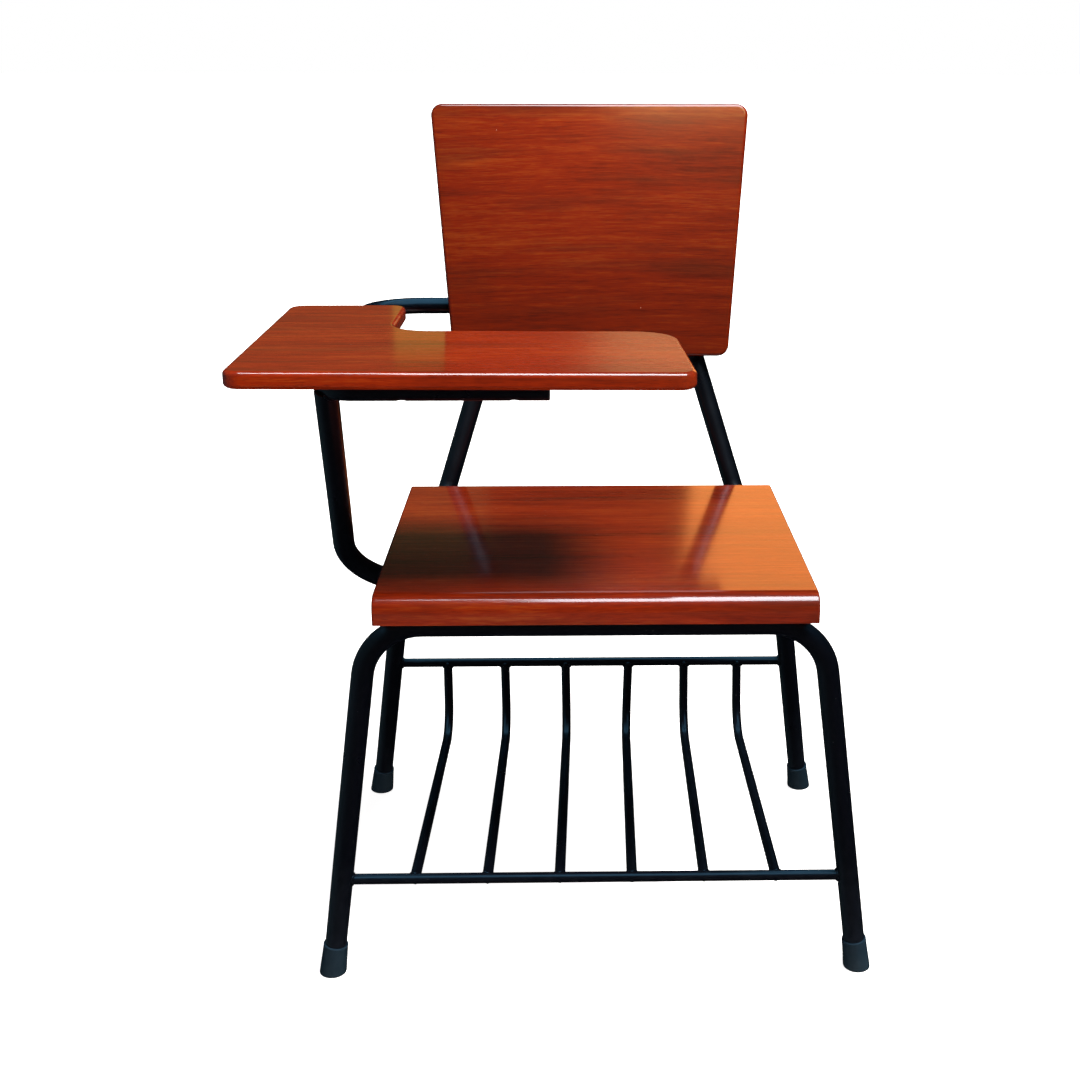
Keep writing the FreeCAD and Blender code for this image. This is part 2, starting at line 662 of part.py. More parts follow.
def make_arm_post(back_envelope, tablet_envelope):
    """Runs out from under the left side rail, then up and far forward to the tablet's
    front corner. Swept in its own frame: x to the left, y up its slope."""
    low = RAIL_HEIGHT - size("post_drop")
    rise = "(%s - %s + Sizes.post_drop)" % (SUPPORT_RULE, RAIL_RULE)
    forward = "(Sizes.post_corner_setback - Sizes.post_top_setback)"
    corners = [
        ("0", "0"),
        ("Sizes.side_rail_inset + Sizes.post_corner_reach", "0"),
        ("Sizes.side_rail_inset + Sizes.post_top_reach", "hypot(%s; %s)" % (forward, rise)),
    ]
    body = bent_tube_body("arm_post_bent", "XY_Plane", corners, ["Sizes.post_bend_radius"], "0",
                          TUBE_RADIUS_RULE, TUBE_BORE_RULE)[0]
    upward = Vector(0, -value(forward), value(rise)).normalize()
    left = Vector(-1, 0, 0)
    start = Vector(-SIDE_RAIL_OFFSET, size("post_corner_setback"), low)
    body.Placement = Placement(start, Rotation(left, upward, left.cross(upward), "XYZ"))
    notched = cut("arm_post_notched", body, back_envelope)
    coped = cut("arm_post_coped", notched, tablet_envelope)
    # The mouth at the top wraps only the support tube's lower part
    wrap_share = 0.35
    cover = size("tablet_arm_width")
    top = Vector(-HALF_SEAT - size("post_top_reach"), size("post_top_setback"), SUPPORT_HEIGHT)
    lid = Part.makeBox(2 * cover, 2 * cover, cover,
                       top + Vector(-cover, -cover, -SUPPORT_RADIUS * wrap_share))
    add_piece(cut("arm_post_trimmed", coped, add_feature("arm_post_lid", lid)), "arm_post")


# Boards

def make_seat():
    body = new_body("seat_board")
    depth = size("seat_depth")
    thickness = size("seat_thickness")
    section = new_sketch(body, "YZ_Plane", "seat_section")
    outline_in(section, [("0", "0"), ("Sizes.seat_depth", "0"),
                         ("Sizes.seat_depth", "Sizes.seat_thickness"), ("0", "Sizes.seat_thickness")])
    slab = pad(body, section, "Sizes.seat_width", symmetric=True)

    def is_nose(edge):
        middle = edge.CenterOfMass
        return abs(middle.y) < TOUCH and abs(middle.z - thickness) < TOUCH

    def is_side_or_rear_edge(edge):
        middle = edge.CenterOfMass
        at_side = abs(abs(middle.x) - size("seat_width") / 2) < TOUCH
        at_rear_top = abs(middle.y - depth) < TOUCH and abs(middle.z - thickness) < TOUCH
        return at_side and middle.z > TOUCH or at_rear_top

    nose = fillet(body, slab, is_nose, "Sizes.seat_nose_radius", "seat_nose")
    fillet(body, nose, is_side_or_rear_edge, "Sizes.seat_edge_radius", "seat_edges")
    pilots = new_sketch(body, "XY_Plane", "seat_pilots")
    for sign in ("-", ""):
        for share in SEAT_SCREW_SHARES:
            spot = (sign + SIDE_RAIL_RULE, "%g * Sizes.seat_depth" % share)
            circle_in(pilots, spot, SHANK_RULE)
    doc.recompute()
    pocket(body, pilots, PILOT_RULE)
    body.Placement = Placement(Vector(0, 0, SEAT_UNDERSIDE), Rotation())
    add_piece(body, "seat_board")


def make_backrest():
    """Drawn in its own frame: x to the right, z up the slope, thickness forward."""
    body = new_body("backrest_board")
    half_bottom = "Sizes.backrest_bottom_width / 2"
    half_top = "Sizes.backrest_top_width / 2"
    corners = [("-" + half_bottom, "0"), (half_bottom, "0"),
               (half_top, "Sizes.backrest_length"), ("-" + half_top, "Sizes.backrest_length")]
    outline = new_sketch(body, "XZ_Plane", "backrest_outline")
    outline_in(outline, corners)
    board = pad(body, outline, "Sizes.backrest_thickness")
    rounded = round_corners(body, board, "y", corners, "Sizes.backrest_corner_radius",
                            "backrest_corners")
    round_rims(body, rounded, "y", size("backrest_thickness"), "Sizes.backrest_edge_radius",
               "backrest_edges")
    pilots = new_sketch(body, "XZ_Plane", "backrest_pilots")
    depth = "(Sizes.frame_tube_diameter / 2 + Sizes.backrest_thickness)"
    base_rise = "(Sizes.backrest_bottom_height - %s * sin(%s) - %s)" % (depth, LEAN_RULE, RAIL_RULE)
    for sign in ("-", ""):
        for share in BACKREST_SCREW_SHARES:
            along = "%g * Sizes.backrest_length" % share
            rise = "(%s + %s * cos(%s))" % (base_rise, along, LEAN_RULE)
            offset = "%s(%s - %s * %s)" % (sign, SIDE_RAIL_RULE, rise, INWARD_RULE)
            circle_in(pilots, (offset, along), SHANK_RULE)
    doc.recompute()
    pocket(body, pilots, PILOT_RULE)
    base = upright_point(1, backrest_base_height()) + backrest_normal() * TUBE_RADIUS
    body.Placement = Placement(Vector(0, base.y, base.z),
                               Rotation(Vector(1, 0, 0), -size("back_lean_angle")))
    add_piece(body, "backrest_board")


def make_tablet():
    body = new_body("writing_tablet")
    left = "-(%s + Sizes.tablet_side_overhang)" % HALF_SEAT_RULE
    front = "-Sizes.tablet_front_reach"
    inner = "Sizes.tablet_arm_width - %s - Sizes.tablet_side_overhang" % HALF_SEAT_RULE
    rear = "Sizes.tablet_writing_depth - Sizes.tablet_front_reach"
    front_left = (left, front + " + Sizes.tablet_front_slant")
    front_right = ("Sizes.tablet_right_reach", front)
    rear_right = ("Sizes.tablet_right_reach - Sizes.tablet_right_slant", rear)
    inner_corner = (inner, rear + " + Sizes.tablet_rear_slant")
    arm_right = (inner, "Sizes.tablet_arm_reach")
    arm_left = (left, "Sizes.tablet_arm_reach")
    outline = new_sketch(body, "XY_Plane", "tablet_outline")
    outline_in(outline, [front_left, front_right, rear_right, inner_corner, arm_right, arm_left])
    board = pad(body, outline, "Sizes.tablet_thickness")
    board = round_corners(body, board, "z", [front_left, front_right, arm_right, arm_left],
                          "Sizes.tablet_corner_radius", "tablet_corners")
    board = round_corners(body, board, "z", [rear_right], "Sizes.tablet_rear_corner_radius",
                          "tablet_rear_corner")
    board = round_corners(body, board, "z", [inner_corner], "Sizes.tablet_inner_radius",
                          "tablet_inner_corner")
    round_rims(body, board, "z", size("tablet_thickness"), "Sizes.tablet_edge_radius", "tablet_edges")
    pilots = new_sketch(body, "XY_Plane", "tablet_pilots")
    corner = "(%s + Sizes.support_front_reach)" % HALF_SEAT_RULE
    rear_run = "(%s + (%s - %s) * tan(%s) - Sizes.support_front_setback)" % (
        BACK_BEND_RULE, SUPPORT_RULE, RAIL_RULE, LEAN_RULE)
    for share in SUPPORT_SIDE_SCREW_SHARES:
        slant = "%g * (Sizes.support_rear_reach - Sizes.support_front_reach)" % share
        circle_in(pilots, ("-%s - %s" % (corner, slant),
                           "Sizes.support_front_setback + %g * %s" % (share, rear_run)), SHANK_RULE)
    for share in SUPPORT_FRONT_SCREW_SHARES:
        run = "%g * (%s - Sizes.support_end_offset)" % (share, corner)
        circle_in(pilots, ("-%s + %s" % (corner, run), "Sizes.support_front_setback"), SHANK_RULE)
    doc.recompute()
    pocket(body, pilots, PILOT_RULE)
    body.Placement = Placement(Vector(0, 0, TABLET_UNDERSIDE), Rotation())
    add_piece(body, "writing_tablet")


# Basket: a bar between each pair of legs and six bent rods between the bars

def make_basket_rail(name, envelope):
    """Bar from leg to leg, coped at both ends."""
    bar = doc.addObject("Part::Cylinder", "basket_%s_bar" % name)
    height = size("basket_%s_height" % name)
    bar.setExpression("Radius", "Sizes.basket_bar_diameter / 2")
    inward = "Sizes.basket_%s_height / cos(%s) * tan(Sizes.%s_leg_splay_angle * 1 deg)" % (
        name, leg_rake_rule(name), name)
    bar.setExpression("Height", "2 * (%s - %s)" % (half_spread_rule(name), inward))
    bar.Placement = Placement(leg_point(name, -1, height), Rotation(Vector(0, 0, 1), Vector(1, 0, 0)))
    doc.recompute()
    add_piece(cut("basket_%s_rail_coped" % name, bar, envelope), "basket_%s_rail" % name)
    return bar


def make_basket_rods(front_bar, rear_bar):
    front = leg_point("front", 1, size("basket_front_height"))
    rear = leg_point("rear", 1, size("basket_rear_height"))
    gaps = len(ROD_TOP_SHARES) + 1
    pitch = 2 * front.x / gaps
    for i, (corner_share, top_share) in enumerate(zip(ROD_CORNER_SHARES, ROD_TOP_SHARES)):
        even = (i + 1) * pitch - front.x
        points = [Vector(even + top_share * pitch, rear.y, rear.z),
                  Vector(even + corner_share * pitch, rear.y, size("basket_floor_height")),
                  Vector(even, front.y, front.z)]
        rod = add_feature("basket_rod_%d_bent" % (i + 1),
                          rod_along(points, [size("basket_rod_bend_radius")], BAR_RADIUS))
        fitted = cut("basket_rod_%d_fitted" % (i + 1), rod, front_bar)
        add_piece(cut("basket_rod_%d_coped" % (i + 1), fitted, rear_bar), "basket_rod_%d" % (i + 1))


# Screws: pan head and plain shank; those of one board share one node

def screw(spot, direction, grip):
    """One screw whose head bears on the spot and whose shank runs along direction."""
    crown_share = 0.55
    rim_share = 0.35
    length = grip + size("screw_bite")
    head_height = size("screw_head_height")
    face = Part.Face(Part.makePolygon([
        Vector(0, 0, -head_height),
        Vector(HEAD_RADIUS * crown_share, 0, -head_height),
        Vector(HEAD_RADIUS, 0, -head_height * rim_share),
        Vector(HEAD_RADIUS, 0, 0),
        Vector(SHANK_RADIUS, 0, 0),
        Vector(SHANK_RADIUS, 0, length - SHANK_RADIUS),
        Vector(0, 0, length),
        Vector(0, 0, -head_height),
    ]))
    solid = face.revolve(Vector(), Vector(0, 0, 1), FULL_TURN)
    solid.Placement = Placement(spot, Rotation(Vector(0, 0, 1), direction))
    return solid


def make_screws(label, spots, direction, grip):
    group = Part.makeCompound([screw(spot, direction, grip) for spot in spots])
    add_piece(add_feature(label, group), label)


def make_chair():
    envelopes = {name: leg_envelope(name) for name in ("front", "rear")}
    back_envelope = add_feature("back_envelope", back_frame_rod(TUBE_RADIUS, 0))
    make_seat()
    make_backrest()
    make_tablet()
    make_leg_frame("front")
    make_leg_frame("rear")
    make_back_frame(envelopes["front"], back_envelope)
    make_arm_post(back_envelope, support_envelope())
    make_support_tube(back_envelope)
    make_support_plug()
    bars = {}
    for name, envelope in envelopes.items():
        bars[name] = make_basket_rail(name, envelope)
        for side in (-1, 1):
            make_foot_cap(name, side)
    make_basket_rods(bars["front"], bars["rear"])
    tube = size("frame_tube_diameter")
    make_screws("seat_screws", seat_screw_spots(), Vector(0, 0, 1), tube)
    make_screws("backrest_screws", backrest_screw_spots(), backrest_normal(), tube)
    make_screws("tablet_screws", support_screw_spots(TABLET_SCREW_RISE), Vector(0, 0, 1),
                SUPPORT_RADIUS - TABLET_SCREW_RISE)


def centre_on_floor():
    """Moves every piece so that the origin is on the floor under the box's middle."""
    box = FreeCAD.BoundBox()
    for piece in pieces:
        box.add(piece.Shape.optimalBoundingBox(False, False))
    shift = Placement(Vector(-box.Center.x, -box.Center.y, 0), Rotation())
    for piece in pieces:
        piece.Placement = shift * piece.Placement
    doc.recompute()
    print("box %.1f x %.1f x %.1f, floor at %.3f" % (box.XLength, box.YLength, box.ZLength, box.ZMin))
    print("seat's front middle is at %.2f, %.2f" % (-box.Center.x, -box.Center.y))


def check_and_write():
    for item in doc.Objects:
        if "Invalid" in item.State or "Error" in item.State:
            raise RuntimeError("%s failed: %s" % (item.Label, item.State))
    for piece in pieces:
        if piece.Shape.isNull() or not piece.Shape.isValid() or not piece.Shape.Solids:
            raise RuntimeError("%s has no valid solid" % piece.Label)
    os.makedirs("parts", exist_ok=True)
    for piece in pieces:
        piece.Shape.exportStep("parts/%s.step" % piece.Label)
    print("%d nodes" % len(pieces))


make_chair()
centre_on_floor()
check_and_write()
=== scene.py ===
import math

import bmesh
import bpy
from mathutils import Matrix, Vector
from mathutils.bvhtree import BVHTree


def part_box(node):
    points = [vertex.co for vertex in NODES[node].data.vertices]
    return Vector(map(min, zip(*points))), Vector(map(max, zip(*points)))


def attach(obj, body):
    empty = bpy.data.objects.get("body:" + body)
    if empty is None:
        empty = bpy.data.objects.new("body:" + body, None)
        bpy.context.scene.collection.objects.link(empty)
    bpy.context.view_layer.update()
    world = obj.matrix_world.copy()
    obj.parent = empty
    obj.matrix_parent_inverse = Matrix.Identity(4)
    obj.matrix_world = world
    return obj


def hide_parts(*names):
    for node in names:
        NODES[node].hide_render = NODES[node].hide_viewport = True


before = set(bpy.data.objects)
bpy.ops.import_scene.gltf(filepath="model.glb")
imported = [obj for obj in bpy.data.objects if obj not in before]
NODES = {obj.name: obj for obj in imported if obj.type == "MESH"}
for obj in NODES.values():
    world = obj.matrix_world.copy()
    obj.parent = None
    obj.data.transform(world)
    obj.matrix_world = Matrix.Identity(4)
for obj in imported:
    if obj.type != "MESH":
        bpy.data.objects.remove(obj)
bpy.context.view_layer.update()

# School chair with a writing arm: varnished mahogany boards on a welded frame of bent
# tube. All lengths in metres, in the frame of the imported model: X to the right as seen
# from the front, Y to the back, Z up from the floor.

MM = 0.001

# Finishes as linear colours
MAHOGANY_DARK = (0.150, 0.010, 0.0016)
MAHOGANY_MIDDLE = (0.315, 0.022, 0.0018)
MAHOGANY_LIGHT = (0.490, 0.085, 0.010)
MAHOGANY_BROWN = (0.105, 0.020, 0.007)
PORE_BROWN = (0.05, 0.006, 0.003)
COAT_BLACK = (0.0013, 0.0016, 0.0032)
COAT_WORN = (0.009, 0.012, 0.018)
COAT_SPECK = (0.12, 0.13, 0.14)
VARNISH_SPECK = (0.75, 0.42, 0.30)
RUBBER_GREY = (0.006, 0.016, 0.027)
RUBBER_DUSTY = (0.016, 0.030, 0.043)
PLASTIC_BLACK = (0.008, 0.009, 0.010)
ZINC = (0.46, 0.46, 0.47)
ZINC_DULL = (0.20, 0.19, 0.18)
FLOOR_WHITE = (0.92, 0.92, 0.92)

# Welds: a bead that swells and thins with each drop of weld metal
ROD_BEAD = 1.5 * MM
TUBE_BEAD = 1.9 * MM
BEAD_RIPPLE = 1.7 * MM
BEAD_SWELL = (0.88, 1.10)
BEAD_DRIFT = 0.06
BEAD_STOP = (1.35, 1.25)
TACK_RING = 5.0 * MM
SHARP_CUT = math.radians(35)
TOUCHING = 0.3 * MM
SAME_POINT = 0.002 * MM
TUBE_RADIUS = 11.1 * MM
RING_POINTS = 24
OUTER_RING = 0.9

# Material name, grain seed, contrast of the bands, stain with painted shade (a colour scale that darkens or
# lightens each board for how brightly it is lit), roughness of the varnish
BOARD_FINISH = {
    "seat_board": ("seat_mahogany", 3.1, 0.7, 0.74, 0.13),
    "backrest_board": ("backrest_mahogany", 7.4, 0.85, 0.52, 0.12),
    "writing_tablet": ("tablet_mahogany", 12.7, 0.7, 1.15, 0.10),
}
RAILS = ("basket_front_rail", "basket_rear_rail")
RODS = tuple("basket_rod_%d" % number for number in range(1, 7))
COATED = ("front_leg_frame", "rear_leg_frame", "back_frame", "arm_post",
          "tablet_support_tube") + RAILS + RODS
CAPS = tuple("foot_cap_%s_%s" % (row, side) for row in ("front", "rear") for side in ("left", "right"))


# Camera

CAMERA_FROM_SEAT_EDGE = (-0.02154, -1.33771, 0.92108)
CAMERA_PITCH_DOWN = math.radians(18.18)
CAMERA_YAW_RIGHT = math.radians(1.31)
CAMERA_ROLL = math.radians(0.13)
CAMERA_LENS_MM = 50.64
CAMERA_SENSOR_MM = 36
CAMERA_SHIFT = (-0.0614, 0.0072)

# Lights: the pieces that a light is kept to, by the name of the group
LIT_NODES = {
    "flat_boards": ("seat_board", "writing_tablet"),
    "backrest": ("backrest_board",),
    "seat_alone": ("seat_board",),
    "tablet_alone": ("writing_tablet",),
    "mirrored_tube": ("back_frame",),
    "steel_and_caps": COATED,
    "screw_heads": (),
    "rear_of_backrest": ("backrest_board", "back_frame"),
}

SEAT_MIDDLE = (0.0, 0.0, 0.45)
KEY_PLACE = (0.40, -0.34, 1.45)
SKY = (0.80, 0.92, 1.0)
PALE_SKY = (0.84, 0.93, 1.0)

# Plain fills: name, place, target, watts, colour, width, height
FILLS = (
    ("left_fill", (-1.9, -0.9, 0.6), SEAT_MIDDLE, 1.5, (0.80, 0.88, 1.0), 0.5, 1.0),
    ("right_fill", (1.9, -0.2, 0.6), SEAT_MIDDLE, 4.4, (1.0, 0.94, 0.88), 0.5, 1.0),
    ("back_fill", (0.3, 2.2, 0.6), SEAT_MIDDLE, 9, (1.0, 0.95, 0.90), 1.2, 0.8),
    ("floor_bounce", (0.1, -0.85, 0.10), (0.0, -0.2, 0.42), 5.6, (1.0, 0.90, 0.82), 1.6, 0.3),
)

# Panels that only the gloss of one group mirrors: name, group, place, target, watts, colour,
# width, height. They are set for the camera's view, and other views mirror them elsewhere.
PANELS = (
    ("skylight_high", "seat_alone", (0.76, -0.62, 2.65), (0.76, -0.5, 0.46), 85, SKY, 2.4, 0.5),
    ("skylight_low", "seat_alone", (1.0, -1.26, 2.65), (1.0, -0.8, 0.46), 115, SKY, 2.2, 0.8),
    ("skylight_left", "tablet_alone", (0.42, -0.62, 2.65), (0.42, -0.5, 0.66), 105, PALE_SKY, 2.6, 0.5),
    ("skylight_wide", "tablet_alone", (0.80, -1.26, 2.65), (0.80, -0.8, 0.66), 135, PALE_SKY, 2.6, 0.8),
    ("backrest_haze", "backrest", (1.10, -3.2, 2.92), (0.1, 0.2, 0.75), 66, (1.0, 0.84, 0.36), 2.0, 1.0),
    ("backrest_sky", "backrest", (0.5, -0.5, 2.8), (0.1, 0.2, 1.1), 160, (0.82, 0.92, 1.0), 1.8, 1.6),
    ("tube_sky", "mirrored_tube", (0.5, -1.2, 2.7), (0.0, 0.2, 0.5), 150, (0.80, 0.88, 1.0), 1.6, 1.0),
    ("sky_on_steel", "steel_and_caps", (0.0, -0.3, 3.0), (0.0, -0.3, 0.0), 190, (0.20, 0.60, 1.0),
     5.0, 5.0),
    ("rear_window", "screw_heads", (0.3, 2.2, 1.3), (0.0, 0.2, 0.9), 4.5, (0.95, 0.97, 1.0), 1.6, 1.2),
    ("room_wall", "flat_boards", (0.0, 2.7, 1.2), (0.0, 0.0, 1.0), 0.32, (1.0, 0.95, 0.50), 3.0, 2.2),
    ("warm_wall", "flat_boards", (0.90, 2.3, 1.15), (0.15, 0.0, 0.46), 8.8, (1.0, 0.36, 0.09), 1.22, 0.9),
    ("olive_curtain", "tablet_alone", (-0.353, 2.3, 0.95), (-0.1, -0.1, 0.6), 0.075, (1.0, 0.86, 0.16),
     0.21, 0.38),
    ("olive_haze", "tablet_alone", (-0.72, 2.3, 0.95), (-0.1, -0.1, 0.6), 0.05, (1.0, 0.80, 0.26),
     0.52, 0.60),
    ("olive_wall", "seat_alone", (-0.40, 2.3, 0.95), (-0.1, 0.0, 0.5), 0.06, (1.0, 0.80, 0.30), 0.34, 0.5),
)

# Surroundings: their plain light, the dark that the gloss mirrors, and a floor that glows almost white
ROOM_COLOUR = (1.0, 0.95, 0.92)
ROOM_STRENGTH = 0.028
DARK_ROOM = (0.005, 0.007, 0.010)
LEFT_GLOW = (0.050, 0.090, 0.115)
LEFT_GLOW_REACH = (-0.35, -0.85)
FLOOR_RADIUS = 60.0
FLOOR_GLOW = 0.93


def make_camera():
    data = bpy.data.cameras.new("camera")
    data.sensor_width = CAMERA_SENSOR_MM
    data.lens = CAMERA_LENS_MM
    data.shift_x, data.shift_y = CAMERA_SHIFT
    camera = bpy.data.objects.new("camera", data)
    bpy.context.scene.collection.objects.link(camera)
    turn = (Matrix.Rotation(-CAMERA_YAW_RIGHT, 4, "Z")
            @ Matrix.Rotation(math.pi / 2 - CAMERA_PITCH_DOWN, 4, "X")
            @ Matrix.Rotation(CAMERA_ROLL, 4, "Z"))
    low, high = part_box("seat_board")
    seat_edge = Vector(((low.x + high.x) / 2, low.y, 0))
    camera.matrix_world = Matrix.Translation(seat_edge + Vector(CAMERA_FROM_SEAT_EDGE)) @ turn
    bpy.context.scene.camera = camera


def make_light(name, kind, place, target, energy, colour, **settings):
    """Light that the camera doesn't see, aimed from its place at the target."""
    data = bpy.data.lights.new(name, kind)
    data.energy = energy
    data.color = colour
    for key, setting in settings.items():
        setattr(data, key, setting)
    light = bpy.data.objects.new(name, data)
    bpy.context.scene.collection.objects.link(light)
    aim = Vector(target) - Vector(place)
    light.matrix_world = Matrix.Translation(place) @ aim.to_track_quat("-Z", "Y").to_matrix().to_4x4()
    light.visible_camera = False
    return light


def make_fill(name, place, target, energy, colour, wide, high):
    """Rectangle of light that no gloss mirrors."""
    fill = make_light(name, "AREA", place, target, energy, colour, shape="RECTANGLE",
                      size=wide, size_y=high)
    fill.visible_glossy = False
    return fill


def make_panel(name, lit, place, target, energy, colour, wide, high):
    """Rectangle of light that only the gloss of the lit pieces mirrors."""
    panel = make_light(name, "AREA", place, target, energy, colour, shape="RECTANGLE",
                       size=wide, size_y=high)
    panel.visible_diffuse = False
    panel.light_linking.receiver_collection = bpy.data.collections[lit]


def make_lights():
    for name, nodes in LIT_NODES.items():
        lit = bpy.data.collections.new(name)
        for node in nodes:
            lit.objects.link(NODES[node])
    key = make_light("key_window", "SUN", KEY_PLACE, SEAT_MIDDLE, 5.0, (1.0, 0.97, 0.94), angle=0.38)
    key.visible_glossy = False
    for fill in FILLS:
        make_fill(*fill)
    lamp = make_light("backrest_lamp", "SPOT", (0.45, -1.2, 1.75), (0.09, 0.2, 1.05), 190,
                      (1.0, 0.90, 0.78), spot_size=0.46, spot_blend=1.0, shadow_soft_size=0.15)
    lamp.visible_glossy = False
    rear = make_fill("rear_fill", (0.3, 2.2, 1.3), (0.0, 0.2, 0.9), 16, (1.0, 0.96, 0.92), 1.2, 0.8)
    rear.light_linking.receiver_collection = bpy.data.collections["rear_of_backrest"]
    for panel in PANELS:
        make_panel(*panel)


def make_world():
    """White backdrop, a little plain light all round, and what the gloss mirrors: darkness with a
    cool glow at the left."""
    world = bpy.data.worlds.new("studio")
    world.use_nodes = True
    bpy.context.scene.world = world
    tree = world.node_tree
    tree.nodes.clear()
    rays = tree.nodes.new("ShaderNodeLightPath")
    towards = add(tree, "ShaderNodeSeparateXYZ", {
        "Vector": tree.nodes.new("ShaderNodeTexCoord").outputs["Generated"]})
    room = add(tree, "ShaderNodeBackground", {"Color": ROOM_COLOUR + (1,), "Strength": ROOM_STRENGTH})
    left = remap(tree, towards.outputs["X"], *LEFT_GLOW_REACH)
    mirrored = add(tree, "ShaderNodeBackground", {
        "Color": blend_colours(tree, left, DARK_ROOM, LEFT_GLOW), "Strength": 1.0})
    backdrop = add(tree, "ShaderNodeBackground", {"Color": (1, 1, 1, 1)})
    plain = add(tree, "ShaderNodeMixShader", {0: rays.outputs["Is Glossy Ray"], 1: room.outputs[0],
                                              2: mirrored.outputs[0]})
    mix = add(tree, "ShaderNodeMixShader", {0: rays.outputs["Is Camera Ray"], 1: plain.outputs[0],
                                            2: backdrop.outputs[0]})
    out = tree.nodes.new("ShaderNodeOutputWorld")
    tree.links.new(mix.outputs[0], out.inputs["Surface"])


def make_floor():
    """Pale light-table floor: it glows almost white, so that shadows on it stay faint."""
    bm = bmesh.new()
    bmesh.ops.create_circle(bm, cap_ends=True, segments=64, radius=FLOOR_RADIUS)
    floor = piece_from(bm, "studio_floor")
    material, tree, shader = new_material("pale_floor")
    feed(tree, shader, {"Base Color": FLOOR_WHITE + (1,), "Roughness": 0.9, "Specular IOR Level": 0.0,
                        "Emission Color": (1, 1, 1, 1), "Emission Strength": FLOOR_GLOW})
    floor.data.materials.append(material)
    floor.visible_glossy = False
    floor.visible_diffuse = False


# Helpers for pieces and node trees

def piece_from(bm, name):
    mesh = bpy.data.meshes.new(name)
    bm.to_mesh(mesh)
    bm.free()
    piece = bpy.data.objects.new(name, mesh)
    bpy.context.scene.collection.objects.link(piece)
    return piece


def feed(tree, made, inputs):
    """Gives a node its inputs: socket names or numbers with values or with sockets to link."""
    for socket, given in inputs.items():
        if isinstance(given, bpy.types.NodeSocket):
            tree.links.new(given, made.inputs[socket])
        else:
            made.inputs[socket].default_value = given
    return made


def add(tree, kind, inputs, **settings):
    """New node with its settings and inputs."""
    made = tree.nodes.new(kind)
    for key, setting in settings.items():
        setattr(made, key, setting)
    return feed(tree, made, inputs)


def math_of(tree, operation, first, second=0.0, third=0.0):
    made = add(tree, "ShaderNodeMath", {0: first, 1: second, 2: third}, operation=operation)
    return made.outputs[0]


def remap(tree, value, low, high, to_low=0.0, to_high=1.0):
    made = add(tree, "ShaderNodeMapRange", {"Value": value, "From Min": low, "From Max": high,
                                            "To Min": to_low, "To Max": to_high})
    return made.outputs["Result"]


def blend_colours(tree, factor, first, second):
    """Colours are sockets or (red, green, blue); they stand at inputs 6 and 7 of the mix node."""
    made = add(tree, "ShaderNodeMix", {"Factor": factor}, data_type="RGBA", blend_type="MIX")
    colours = [given if isinstance(given, bpy.types.NodeSocket) else tuple(given) + (1,)
               for given in (first, second)]
    return feed(tree, made, {6: colours[0], 7: colours[1]}).outputs[2]


def noise(tree, vector, scale, detail, roughness=0.5):
    made = add(tree, "ShaderNodeTexNoise", {"Vector": vector, "Scale": scale, "Detail": detail,
                                            "Roughness": roughness})
    return made.outputs["Fac"]


def drawn_out(tree, vector, scale, detail, roughness=0.5):
    """Noise with its own scale along each axis."""
    made = add(tree, "ShaderNodeMapping", {"Vector": vector, "Scale": scale})
    return noise(tree, made.outputs["Vector"], 1.0, detail, roughness)


def new_group(name, inputs, outputs):
    """Node group with its sockets; returns the group, its input node and output node."""
    group = bpy.data.node_groups.new(name, "ShaderNodeTree")
    kinds = {"color": "NodeSocketColor", "value": "NodeSocketFloat", "vector": "NodeSocketVector"}
    for label, kind, given in inputs:
        socket = group.interface.new_socket(label, in_out="INPUT", socket_type=kinds[kind])
        if given is not None:
            socket.default_value = given
    for label, kind in outputs:
        group.interface.new_socket(label, in_out="OUTPUT", socket_type=kinds[kind])
    return group, group.nodes.new("NodeGroupInput"), group.nodes.new("NodeGroupOutput")


def use_group(tree, group, inputs):
    return add(tree, "ShaderNodeGroup", inputs, node_tree=group).outputs


def new_material(name):
    material = bpy.data.materials.new(name)
    material.use_nodes = True
    tree = material.node_tree
    tree.nodes.clear()
    shader = tree.nodes.new("ShaderNodeBsdfPrincipled")
    out = tree.nodes.new("ShaderNodeOutputMaterial")
    tree.links.new(shader.outputs["BSDF"], out.inputs["Surface"])
    return material, tree, shader


def bumped(tree, height, distance):
    made = add(tree, "ShaderNodeBump", {"Height": height, "Distance": distance, "Strength": 1.0})
    return made.outputs["Normal"]


def object_place(tree):
    return tree.nodes.new("ShaderNodeTexCoord").outputs["Object"]


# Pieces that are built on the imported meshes

def merged_copy(node):
    bm = bmesh.new()
    bm.from_mesh(NODES[node].data)
    bmesh.ops.remove_doubles(bm, verts=bm.verts, dist=SAME_POINT)
    bm.verts.index_update()
    return bm


def islands(bm):
    """Lists of vertices, one for each separate body in the mesh."""
    waiting = set(bm.verts)
    found = []
    for first in bm.verts:
        if first not in waiting:
            continue
        waiting.discard(first)
        group = [first]
        for vertex in group:
            for edge in vertex.link_edges:
                other = edge.other_vert(vertex)
                if other in waiting:
                    waiting.discard(other)
                    group.append(other)
        found.append(group)
    return found


def chain_of(edges):
    """Takes one run of touching edges out of the set and returns its points in order."""
    edge = min(edges, key=lambda one: one.verts[0].index)
    edges.discard(edge)
    chain = list(edge.verts)
    while True:
        onward = [one for one in chain[-1].link_edges if one in edges]
        if not onward:
            return [vertex.co.copy() for vertex in chain]
        edges.discard(onward[0])
        chain.append(onward[0].other_vert(chain[-1]))


def length_of(points):
    return sum((one - other).length for one, other in zip(points, points[1:]))


